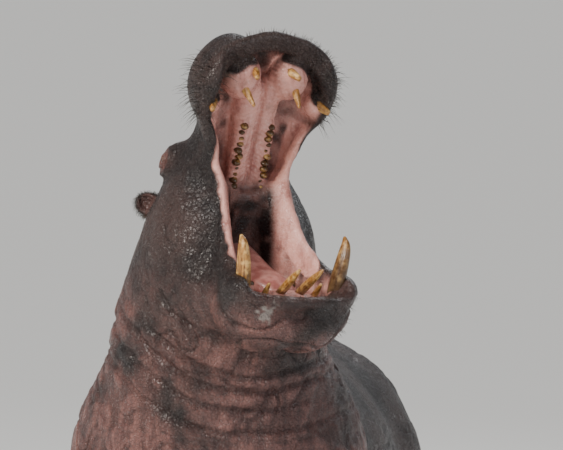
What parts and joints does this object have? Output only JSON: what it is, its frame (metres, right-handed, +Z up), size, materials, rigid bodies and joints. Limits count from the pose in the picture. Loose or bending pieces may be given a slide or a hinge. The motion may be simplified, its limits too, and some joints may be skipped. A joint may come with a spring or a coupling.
{
  "type": "hippopotamus",
  "caption": "Life-size standing hippopotamus, a still model of a big bull yawning with its head raised and its jaws wide open.",
  "frame": {"origin": "middle of the bounding box in plan, on the level of the soles", "axes": "+Z up; the animal's body points along -Y with its rump towards +Y; its left side is +X; its raised head is turned towards +X"},
  "size_m": [1.1946, 3.1518, 2.5965],
  "materials": {
    "hide": "wet, wrinkled",
    "throat_hide": "wet, folded",
    "tongue_flesh": "wet",
    "eye": "wet gloss",
    "ivory": "stained, worn",
    "hoof": "dull"
  },
  "bodies": {
    "root": {"trunk": "hide", "neck": "throat_hide", "head": "hide", "lower_jaw": "hide", "tail": "hide", "tongue": "tongue_flesh", "ear_left": "hide", "eye_left": "eye", "leg_fore_left": "hide", "hoof_fore_left_1": "hoof", "hoof_fore_left_2": "hoof", "hoof_fore_left_3": "hoof", "hoof_fore_left_4": "hoof", "leg_hind_left": "hide", "hoof_hind_left_1": "hoof", "hoof_hind_left_2": "hoof", "hoof_hind_left_3": "hoof", "hoof_hind_left_4": "hoof", "tusk_lower_left": "ivory", "tusk_upper_left": "ivory", "incisor_lower_inner_left": "ivory", "incisor_lower_outer_left": "ivory", "incisor_upper_inner_left": "ivory", "incisor_upper_outer_left": "ivory", "ear_right": "hide", "eye_right": "eye", "leg_fore_right": "hide", "hoof_fore_right_1": "hoof", "hoof_fore_right_2": "hoof", "hoof_fore_right_3": "hoof", "hoof_fore_right_4": "hoof", "leg_hind_right": "hide", "hoof_hind_right_1": "hoof", "hoof_hind_right_2": "hoof", "hoof_hind_right_3": "hoof", "hoof_hind_right_4": "hoof", "tusk_lower_right": "ivory", "tusk_upper_right": "ivory", "incisor_lower_inner_right": "ivory", "incisor_lower_outer_right": "ivory", "incisor_upper_inner_right": "ivory", "incisor_upper_outer_right": "ivory"}
  },
  "joints": []
}
